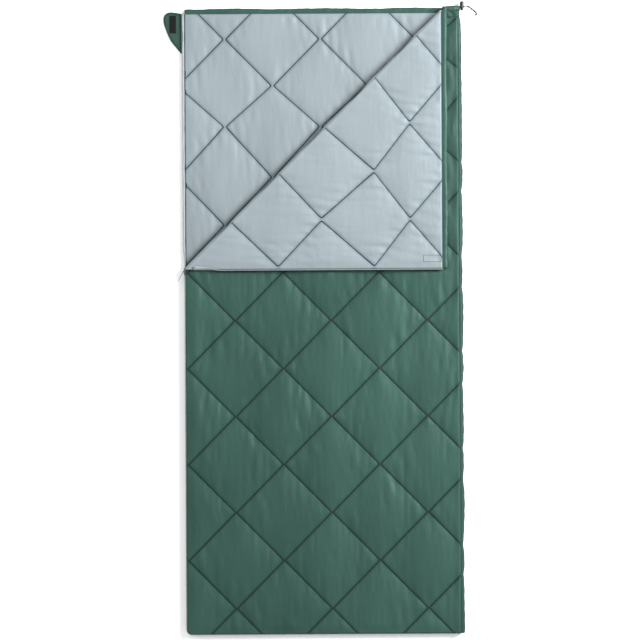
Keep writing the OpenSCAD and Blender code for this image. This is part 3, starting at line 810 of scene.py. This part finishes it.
# The side strip's shell wears the painted-shade copy of the shell cloth.
fold_strip("side_fold_shell_cloth", SHADED_SIDE_SHELL,
           side_rings(RIGHT, SHELL_BOTTOM + TUCK, SHELL_TOP - TUCK, FOLD_X - RIGHT + 1.5 * MM, 0.10),
           ["side_fold_shell", "side_fold_fill"])
fold_strip("side_fold_lining_cloth", LINING,
           side_rings(RIGHT, LINING_LOW - TUCK, LINING_HIGH + TUCK, 3 * MM, 0.2),
           ["side_fold_lining"])

# A crease ring has no points near its middle, so that it stays inside the quilt when the corner is unfolded.
QUARTER = [math.radians(77 * a / 6) for a in range(7)]
CREASE_ANGLES = QUARTER + [math.pi - t for t in reversed(QUARTER)]


def crease_rings(low, high, bulge):
    """Half-round rings along the crease, from the cover's edge to the folded corner's edge."""
    rings = []
    x0, x1 = LEFT + 1 * MM, HEAD - CREASE_C - 15 * MM
    for k in range(161):
        x = x0 + (x1 - x0) * k / 160
        swell = 1 + 0.25 * math.sin(x * 47) + 0.15 * math.sin(x * 91 + 1)
        ring = []
        for t in CREASE_ANGLES:
            out = (abs(math.sin(t)) ** 0.7 * bulge * swell - 1.5 * MM) / math.sqrt(2)
            ring.append((x - out, x + CREASE_C + out, (low + high) / 2 - (high - low) / 2 * math.cos(t)))
        rings.append(ring)
    return rings


FLAP_MID = 2 * CREASE_Z - COVER_MID
fold_strip("crease_lining_cloth", LINING,
           crease_rings(COVER_MID - CREASE_HALF + 0.5 * MM, FLAP_MID + CREASE_HALF - 0.5 * MM, 6 * MM))


# ---------- hems ----------

def hem(name, body, x1, mid, nodes, seed, fold=False):
    """A soft tube of shell cloth along the head edge up to x1, gathered a little, with a sunk seam."""
    x0, y0, y1 = LEFT, HEM_Y - 3 * MM, HEAD
    half = 4.8 * MM
    rings = []
    count = max(12, round((x1 - x0) / (4 * MM)))
    rng = random.Random(seed)
    phase = [rng.uniform(0, 6.28) for _ in range(4)]
    for k in range(count + 1):
        x = x0 + (x1 - x0) * k / count
        wave = 0.5 * math.sin(x * 90 + phase[0]) + 0.35 * math.sin(x * 210 + phase[1])
        wave += 0.3 * math.sin(x * 37 + phase[2])
        shift = 1.1 * MM * math.sin(x * 23 + phase[3])
        centre, deep = (y0 + y1) / 2, (y1 - y0) / 2
        ring = []
        for a in range(20):
            t = 2 * math.pi * a / 20
            cy, cz = math.cos(t), math.sin(t)
            squash = 1 - 0.2 * math.exp(-((cy + 0.42) / 0.22) ** 2)
            py = centre + shift + math.copysign(abs(cy) ** 0.8, cy) * (deep + 0.7 * MM * wave)
            pz = mid + math.copysign(abs(cz) ** 0.75, cz) * half * squash * (1 + 0.13 * wave)
            ring.append((x, py, pz))
        rings.append(ring)
    points, faces = loft(rings)
    if fold:
        points = fold_back(points)
    piece = make(name, points, faces, [SHELL], body)
    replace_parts(piece, *nodes)
    return piece


def cut_at_crease(piece, side):
    """Cuts a piece along the crease's upright plane, for good."""
    bm = bmesh.new()
    bm.from_mesh(piece.data)
    middle = Vector((CREASE_POS[0], CREASE_POS[1], CREASE_Z))
    geom = bm.verts[:] + bm.edges[:] + bm.faces[:]
    across = Vector((-1, 1, 0)) * side
    bmesh.ops.bisect_plane(bm, geom=geom, plane_co=middle, plane_no=across, clear_outer=True)
    bmesh.ops.holes_fill(bm, edges=[e for e in bm.edges if len(e.link_faces) == 1], sides=0)
    bm.to_mesh(piece.data)
    bm.free()


hem("base_head_hem_cloth", "base_layer", RIGHT - 8 * MM, BASE_MID, ["base_head_hem", "base_drawcord"], 1)
flap_hem = hem("flap_head_hem_cloth", "corner_flap", HEAD - CREASE_C - 4 * MM, COVER_MID,
               ["flap_head_hem", "flap_drawcord"], 2, fold=True)
cut_at_crease(flap_hem, 1)


def corner_hem():
    """The gathered hem at the folded side: it runs along the cover's level and turns down to the base's."""
    rings = []
    path = [(CORNER_LOW[0] - 13 * MM, COVER_MID), (CORNER_LOW[0] + 8 * MM, COVER_MID + 0.6 * MM),
            (CORNER_LOW[0] + 22 * MM, COVER_MID), (CORNER_HIGH[0] - 8 * MM, COVER_MID - 2 * MM),
            (CORNER_HIGH[0] - 3 * MM, COVER_MID - 8 * MM), (CORNER_HIGH[0] - 4 * MM, BASE_MID + 5 * MM),
            (CORNER_HIGH[0] - 12 * MM, BASE_MID)]
    fine = []
    for k in range(len(path) - 1):
        for s in range(8):
            t = s / 8
            fine.append([path[k][n] * (1 - t) + path[k + 1][n] * t for n in (0, 1)])
    fine.append(path[-1])
    for k, (x, z) in enumerate(fine):
        gather = 0.5 * math.sin(k * 1.5) + 0.4 * math.sin(k * 0.8 + 1)
        ahead = fine[min(k + 1, len(fine) - 1)]
        behind = fine[max(k - 1, 0)]
        angle = math.atan2(ahead[1] - behind[1], ahead[0] - behind[0])
        grow = 1 + 0.05 * gather
        rise = 4 * MM * min(1, k / 14)
        ring = []
        for a in range(20):
            t = 2 * math.pi * a / 20
            across = math.sin(t) * 4.9 * MM * grow
            py = (HEM_Y + HEAD) / 2 + rise * 0.6 + math.cos(t) * (9 * MM + 0.5 * MM * gather)
            ring.append((x - math.sin(angle) * across, py, z + math.cos(angle) * across))
        rings.append(ring)
    points, faces = loft(rings)
    piece = make("corner_hem_cloth", points, faces, [SHELL], "base_layer")
    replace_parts(piece, "corner_hem", "corner_drawcord")


corner_hem()


def corner_panel():
    """The puckered scrap of quilt under the corner hem."""
    low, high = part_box("corner_panel")
    x0, x1 = low[0] - 7 * MM, high[0] + 2 * MM
    y0, y1 = low[1] - 5 * MM, HEM_Y + 4 * MM
    nx, ny = 26, 12
    points = []
    for layer in (1, -1):
        for a in range(nx + 1):
            for b in range(ny + 1):
                x = x0 + (x1 - x0) * a / nx
                y = y0 + (y1 - y0) * b / ny
                way = 250 * (x + 0.9 * y) + 1.1 * math.sin(160 * y)
                fold = 1.1 * MM * math.sin(way) * (0.4 + 0.6 * b / ny) if layer > 0 else 0
                rim = min(1, min(b, nx - a, a) / 2)
                points.append((x, y, COVER_MID + layer * (3.6 * MM + 2.2 * MM * rim) + fold))
    tall = ny + 1
    corners = [a * tall + b for a in range(nx) for b in range(ny)]
    faces, _ = closed_faces([[c, c + tall, c + tall + 1, c + 1] for c in corners], (nx + 1) * tall, 0, 0)
    # Painted shade: the corner panel wears the darker copy of the shell cloth.
    piece = make("corner_panel_cloth", points, faces, [SHADED_SIDE_SHELL], "base_layer")
    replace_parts(piece, "corner_panel")


corner_panel()


# ---------- zip ----------

TAPE_T = 0.9 * MM
OPEN_LEAN = 5 * MM              # how far the open tape leans out
ROLL_LEAN = 11 * MM             # how far the folded corner's tape rolls in


def edge_route(outside, y_end, x_end, step=8 * MM):
    """Plan points from the head end of the zip down the side, round the foot corner and along the foot."""
    r = CORNER_R
    points = []
    count = round((y_end - FOOT - r) / step)
    for k in range(count + 1):
        points.append((LEFT - outside, y_end - (y_end - FOOT - r) * k / count))
    for a in range(1, 6):
        t = math.pi / 2 * a / 6
        points.append((LEFT + r - (r + outside) * math.cos(t), FOOT + r - (r + outside) * math.sin(t)))
    count = round((x_end - LEFT - r) / step)
    for k in range(count + 1):
        points.append((LEFT + r + (x_end - LEFT - r) * k / count, FOOT - outside))
    return points


def tape(name, body, route, z_edge, z_coil, lean, nodes, fold=False):
    """A zip tape: a strip of woven tape from the layer's edge to the coil, with a soft wave."""
    rings = []
    for k, (x, y) in enumerate(route):
        out_here = lean(y)
        opened = max(out_here, 0) / OPEN_LEAN
        rolled = max(-out_here, 0) / ROLL_LEAN
        wave = 0.9 * MM * math.sin(k * 0.55) * (0.4 + opened)
        ahead, behind = route[min(k + 1, len(route) - 1)], route[max(k - 1, 0)]
        across = Vector((ahead[1] - behind[1], behind[0] - ahead[0], 0)).normalized()
        ring = []
        for s in range(5):
            t = s / 4
            out = (out_here + wave * 0.5) * t - 0.6 * MM * (1 - t)
            z = z_edge + (z_coil - z_edge) * t ** (1 / (1 + 2 * rolled)) * (1 - 0.25 * opened)
            ring.append(Vector((x, y, z)) + across * out)
        rings.append([tuple(p) for p in ring])
    points, faces = loft(rings, closed=False, caps=False)
    if fold:
        points = [tuple(p) for p in fold_back(points)]
    piece = make(name, points, faces, [TAPE])
    thicken(piece, TAPE_T)
    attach(piece, body)
    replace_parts(piece, *nodes)


def coil(name, body, route, z0, z1, nodes, lean, fold=False):
    """The zip's coil, drawn as its row of teeth on the tape's outer side."""
    pitch, tooth = 2.6 * MM, 1.6 * MM
    points, faces = [], []
    distance, count = 0.0, 0
    for (xa, ya), (xb, yb) in zip(route, route[1:]):
        length = math.hypot(xb - xa, yb - ya)
        along = Vector((xb - xa, yb - ya, 0)) / length
        across = Vector((-along[1], along[0], 0)) * -1
        while distance < length:
            middle = Vector((xa, ya, 0)) + along * distance
            out = lean(middle[1])
            drop = 2.2 * MM * max(out, 0) / OPEN_LEAN
            for s in (-1, 1):
                for depth in (0.2 * MM, 2.7 * MM):
                    for z in (z0, z1):
                        p = middle + along * (s * tooth / 2) + across * (depth + out)
                        points.append((p[0], p[1], z - drop))
            faces += box_faces(count)
            count += 1
            distance += pitch
        distance -= length
    if fold:
        points = [tuple(p) for p in fold_back(points)]
    piece = make(name, points, faces, [COIL], body, smooth=False)
    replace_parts(piece, *nodes)


SLIDER_LOW, SLIDER_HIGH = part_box("zip_slider")
FOOT_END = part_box("base_zip_coil")[1][0]
CLOSED_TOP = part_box("cover_zip_tape")[1][1]
base_route = edge_route(1.4 * MM, HEM_Y, FOOT_END)
cover_route = edge_route(1.4 * MM, CLOSED_TOP, FOOT_END)
OPEN_AT = SLIDER_HIGH[1] + 10 * MM
FLAP_TAPE_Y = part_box("flap_zip_coil")[0][0] + CREASE_C


def upright(_y):
    """The cover's tape doesn't lean."""
    return 0.0


def open_lean(y):
    """The base's tape leans outwards where the zip is open."""
    return OPEN_LEAN * ramp_at(y, OPEN_AT, OPEN_AT + 60 * MM)


def roll_lean(y):
    """The folded corner's tape rolls in over the lining beside the slider."""
    return -ROLL_LEAN * (1 - ramp_at(y, FLAP_TAPE_Y + 15 * MM, FLAP_TAPE_Y + 85 * MM))


flap_route = [(LEFT - 1.4 * MM, HEM_Y - (HEM_Y - FLAP_TAPE_Y) * k / 95) for k in range(96)]
LOW_TEETH = (MID_Z - 3.1 * MM, MID_Z - 0.6 * MM)
HIGH_TEETH = (MID_Z + 0.6 * MM, MID_Z + 3.1 * MM)
LOW_EDGE = BASE_MID - 1 * MM
HIGH_EDGE = COVER_MID + 1 * MM
tape("base_zip_tape_cloth", "base_layer", base_route, LOW_EDGE, LOW_TEETH[1], open_lean, ["base_zip_tape"])
coil("base_zip_teeth", "base_layer", base_route, *LOW_TEETH, ["base_zip_coil"], open_lean)
tape("cover_zip_tape_cloth", "cover", cover_route, HIGH_EDGE, HIGH_TEETH[0], upright, ["cover_zip_tape"])
coil("cover_zip_teeth", "cover", cover_route, *HIGH_TEETH, ["cover_zip_coil"], upright)
tape("flap_zip_tape_cloth", "corner_flap", flap_route, HIGH_EDGE, HIGH_TEETH[0], roll_lean, ["flap_zip_tape"],
     fold=True)
coil("flap_zip_teeth", "corner_flap", flap_route, *HIGH_TEETH, ["flap_zip_coil"], roll_lean, fold=True)


def turned_edge():
    """The edge of the base's shell, turned up beside the open tape as a narrow wavy welt, coloured darker
    than the shell as painted shade of the gap beside the tape.
    """
    rings = []
    for k in range(201):
        y = OPEN_AT + (HEM_Y - OPEN_AT) * k / 200
        x = LEFT + 1.2 * MM + 1.9 * MM * math.sin(y * 71) * math.sin(y * 23 + 1)
        z = BASE_MID + 0.9 * MM + 0.5 * MM * math.sin(y * 110)
        turns = [t * math.pi / 5 for t in range(10)]
        rings.append([(x + 3.0 * MM * math.cos(t), y, z + 2.1 * MM * math.sin(t)) for t in turns])
    points, faces = loft(rings)
    # The welt's dark colour is painted shade of the gap beside the tape.
    make("base_edge_welt", points, faces, [WELT_SHADE], "base_layer")


turned_edge()

METAL_PARTS = (("zip_slider", "slider", 0.25), ("pull_outer", "outer_pull", 0.2),
               ("pull_inner", "inner_pull", 0.2), ("base_zip_top_stop", "base_layer", 0.3),
               ("zip_end_stop", "base_layer", 0.5), ("flap_zip_top_stop", "corner_flap", 0.3))
for node, body, width in METAL_PARTS:
    rounded_copy(node + "_metal", node, METAL, body, width * MM)


# ---------- closure tab ----------

def curve_point(points, i, t):
    """A point at share t of the smooth curve between points i and i + 1."""
    last = len(points) - 1
    a, b, c, d = points[max(i - 1, 0)], points[i], points[i + 1], points[min(i + 2, last)]
    bend = (2 * a - 5 * b + 4 * c - d) * t ** 2 + (3 * b - a - 3 * c + d) * t ** 3
    return 0.5 * (2 * b + (c - a) * t + bend)


TAB_SHAPE = [Vector(p) for p in ((1.0, 0.965), (0.66, 0.995), (0.29, 1.0), (0.06, 0.93), (0.0, 0.80),
                                 (0.11, 0.61), (0.38, 0.335), (0.73, 0.135), (1.0, 0.0))]
TAB_POINTS = 56


def tab_outline(low, high):
    """The tab's outline in its box: a half leaf with a rounded top."""
    points = []
    for n in range(TAB_POINTS):
        t = n / (TAB_POINTS - 1) * (len(TAB_SHAPE) - 1)
        k = min(int(t), len(TAB_SHAPE) - 2)
        p = curve_point(TAB_SHAPE, k, t - k)
        points.append((low[0] + (high[0] - low[0]) * min(p[0], 1), low[1] + (high[1] - low[1]) * p[1]))
    return points


def tab():
    """The closure tab: a soft leaf with a sunk row of stitches along its edge."""
    low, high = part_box("tab_cloth")
    outline = tab_outline(low, high)
    middle = (high[0] - 20 * MM, (low[1] + high[1]) / 2 + 8 * MM)
    z0, z1 = low[2], high[2]

    def shrunk(share):
        return [[middle[n] + (p[n] - middle[n]) * share for n in (0, 1)] for p in outline]

    rings = []
    for share, z in ((0.90, z0), (0.985, z0 + 0.3 * MM), (1.0, (z0 + z1) / 2), (0.985, z1 - 0.3 * MM),
                     (0.93, z1 + 0.1 * MM), (0.905, z1 - 0.55 * MM), (0.88, z1 + 0.05 * MM),
                     (0.5, z1 + 0.2 * MM), (0.05, z1 + 0.1 * MM)):
        rings.append([(p[0], p[1], z + 0.35 * MM * math.sin(y * 120 + x * 60))
                      for p, (x, y) in zip(shrunk(share), outline)])
    points, faces = loft(rings)
    piece = make("tab_cloth_piece", points, faces, [SHELL], "closure_tab")
    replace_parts(piece, "tab_cloth")
    seam = shrunk(0.905)
    points, faces, count = [], [], 0
    for (xa, ya), (xb, yb) in zip(seam, seam[1:]):
        length = math.hypot(xb - xa, yb - ya)
        if length < 1e-5:
            continue
        along = Vector((xb - xa, yb - ya, 0))
        side = Vector((-along[1], along[0], 0)) / length * 0.5 * MM
        for share in (0.1, 0.85):
            for s in (-1, 1):
                for z in (-0.7 * MM, 0.45 * MM):
                    points.append(tuple(Vector((xa, ya, z1 + z)) + along * share + side * s))
        faces += box_faces(count)
        count += 1
    thread = make("tab_stitches", points, faces, [SHELL_THREAD], "closure_tab")
    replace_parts(thread, "tab_stitching")


tab()


HOOK_PITCH = 2.0 * MM
HOOK_HALF = 0.35 * MM


def patch(name, node, body, sign):
    """A hook or loop patch: a strip with rows of tiny hooks on the side that sign gives."""
    low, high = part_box(node)
    spans = [(low, high)]
    face = high[2] if sign > 0 else low[2]
    z0, z1 = sorted((face - 0.2 * MM * sign, face + 0.45 * MM * sign))
    nx, ny = round((high[0] - low[0]) / HOOK_PITCH), round((high[1] - low[1]) / HOOK_PITCH)
    for a in range(1, nx):
        for b in range(1, ny):
            x, y = low[0] + a * HOOK_PITCH, low[1] + b * HOOK_PITCH + (a % 2) * 0.8 * MM
            if y <= high[1] - 1 * MM:
                spans.append(((x - HOOK_HALF, y - HOOK_HALF, z0), (x + HOOK_HALF, y + HOOK_HALF, z1)))
    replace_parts(boxes(name, spans, HOOK, body), node)


patch("hook_patch_strip", "hook_patch", "closure_tab", 1)
patch("loop_patch_strip", "loop_patch", "corner_flap", -1)


def loop_patch_seam():
    """The stitched rectangle that shows on the lining, over the loop patch."""
    low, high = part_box("loop_patch_stitching")
    corners = [(low[0], low[1]), (high[0], low[1]), (high[0], high[1]), (low[0], high[1]), (low[0], low[1])]
    pad = 0.35 * MM
    spans = []
    for (xa, ya), (xb, yb) in zip(corners, corners[1:]):
        count = round(math.hypot(xb - xa, yb - ya) / (3.6 * MM))
        for k in range(count):
            t0, t1 = (k + 0.1) / count, (k + 0.85) / count
            ax, bx = sorted((xa + (xb - xa) * t0, xa + (xb - xa) * t1))
            ay, by = sorted((ya + (yb - ya) * t0, ya + (yb - ya) * t1))
            start_x, start_y = xa + (xb - xa) * t0, ya + (yb - ya) * t0
            flat = fold_back(np.array([[start_x, start_y, 0.0]]))[0]
            _, _, thick = half_thickness(flat[0:1], flat[1:2], FLAP_BOTTOM, True)
            z = FLAP_MID + float(thick[0])
            spans.append(((ax - pad, ay - pad, z - 0.8 * MM), (bx + pad, by + pad, z + 0.5 * MM)))
    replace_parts(boxes("loop_patch_stitches", spans, LINING_THREAD, "corner_flap"), "loop_patch_stitching")


loop_patch_seam()


def tab_root():
    """The cloth between the base's edge and the tab, lofted from rings and thickened."""
    low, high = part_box("tab_root")
    rings = []
    for k in range(31):
        y = low[1] + (high[1] - low[1]) * k / 30
        ring = []
        for s in range(9):
            t = s / 8
            x = LEFT + 0.5 * MM - (LEFT + 2.5 * MM - low[0]) * t
            z = low[2] + 0.9 * MM + 2.2 * MM * math.sin(math.pi * t) * (1 - t) + 0.3 * MM * math.sin(y * 130)
            ring.append((x, y, z))
        rings.append(ring)
    points, faces = loft(rings, closed=False, caps=False)
    piece = make("tab_root_cloth", points, faces, [SHELL])
    thicken(piece, 0.9 * MM)
    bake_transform(piece)
    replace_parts(piece, "tab_root")


tab_root()


# ---------- cord lock and drawcord ----------

barrel = rounded_copy("cord_lock_barrel_plastic", "cord_lock_barrel", PLASTIC, "cord_lock", 0.5 * MM)
button = rounded_copy("cord_lock_button_plastic", "cord_lock_button", PLASTIC, "lock_button", 0.4 * MM)
spring = rounded_copy("cord_lock_spring_wire", "cord_lock_spring", METAL, "cord_lock", 0.02 * MM)
end_piece = rounded_copy("cord_end_plastic", "cord_end", PLASTIC, "base_layer", 0.4 * MM)


def press_spring():
    """Gives the spring its own copy of its mesh."""
    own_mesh(spring)


press_spring()

CORD_R = 1.4 * MM
# The routes in millimetres, as in part.scad: through the hem's end and the lock, then down to the end piece.
UPPER_ROUTE = [(416.5, 955, 17.4), (434, 955, 17.4), (440.5, 955.4, 17.2), (449.4, 952, 16.3),
               (459.9, 943.7, 15.8), (469.4, 935.2, 15.4)]
LOWER_ROUTE = [(416.5, 955, 14.6), (434, 955, 14.6), (440.5, 954.6, 14.7), (447.6, 949.6, 15),
               (458.1, 941.3, 15.2), (467.6, 932.8, 15.3)]


def smooth_route(points, n):
    """A smooth curve through a route in millimetres, with n steps between its points."""
    route = [Vector(p) * MM for p in points]
    return [curve_point(route, i, k / n) for i in range(len(route) - 1) for k in range(n)] + [route[-1]]


def cord_tube(name, node, route):
    """A braided cord: a tube whose surface carries crossing strands."""
    path = smooth_route(route, 24)
    rings, length = [], 0.0
    for i, p in enumerate(path):
        length += (p - path[i - 1]).length if i else 0.0
        along = (path[min(i + 1, len(path) - 1)] - path[max(i - 1, 0)]).normalized()
        side = along.cross(Vector((0, 0, 1))).normalized()
        top = side.cross(along)
        ring = []
        for a in range(20):
            t = 2 * math.pi * a / 20
            braid = math.sin(4 * t + length * 2400) * math.sin(4 * t - length * 2400)
            r = CORD_R * (0.97 + 0.06 * braid)
            ring.append(tuple(p + (side * math.cos(t) + top * math.sin(t)) * r))
        rings.append(ring)
    points, faces = loft(rings)
    piece = make(name, points, faces, [CORD], "base_layer")
    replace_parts(piece, node)


cord_tube("drawcord_tail_upper_cord", "drawcord_tail_upper", UPPER_ROUTE)
cord_tube("drawcord_tail_lower_cord", "drawcord_tail_lower", LOWER_ROUTE)


# ---------- studio ----------

VIEW_WIDTH = 1.945              # metres across the square picture, at the bag


def studio():
    """A white floor, an even white surround and two soft lamps."""
    corners = [(-8, -8, 0), (8, -8, 0), (8, 8, 0), (-8, 8, 0)]
    make("studio_floor", corners, [(0, 1, 2, 3)], [FLOOR], smooth=False)
    world = bpy.data.worlds.new("studio")
    world.use_nodes = True
    surround = world.node_tree.nodes["Background"]
    surround.inputs["Color"].default_value = (1, 1, 1, 1)
    surround.inputs["Strength"].default_value = 0.95
    bpy.context.scene.world = world
    bpy.context.scene.view_settings.view_transform = "Standard"
    for name, energy, size, spot in (("key", 370, 1.7, (2.7, 1.35, 2.6)),
                                     ("fill", 54, 3.0, (-2.6, 1.6, 2.8))):
        lamp = bpy.data.lights.new(name, "AREA")
        lamp.energy = energy
        lamp.size = size
        light = bpy.data.objects.new(name, lamp)
        light.location = spot
        light.rotation_euler = (-Vector(spot)).to_track_quat("-Z", "Y").to_euler()
        bpy.context.collection.objects.link(light)


def camera():
    """Straight down on the whole bag, turned a little as the bag lies a little askew."""
    view = bpy.data.cameras.new("camera")
    view.lens = 100
    view.sensor_width = 36
    view.dof.use_dof = False
    eye = bpy.data.objects.new("camera", view)
    height = VIEW_WIDTH * view.lens / view.sensor_width
    eye.location = (-14 * MM, 1.2 * MM, height + CREASE_Z - 1 * MM)
    eye.rotation_euler = (0, 0, math.radians(-0.33))
    bpy.context.collection.objects.link(eye)
    bpy.context.scene.camera = eye


studio()
camera()
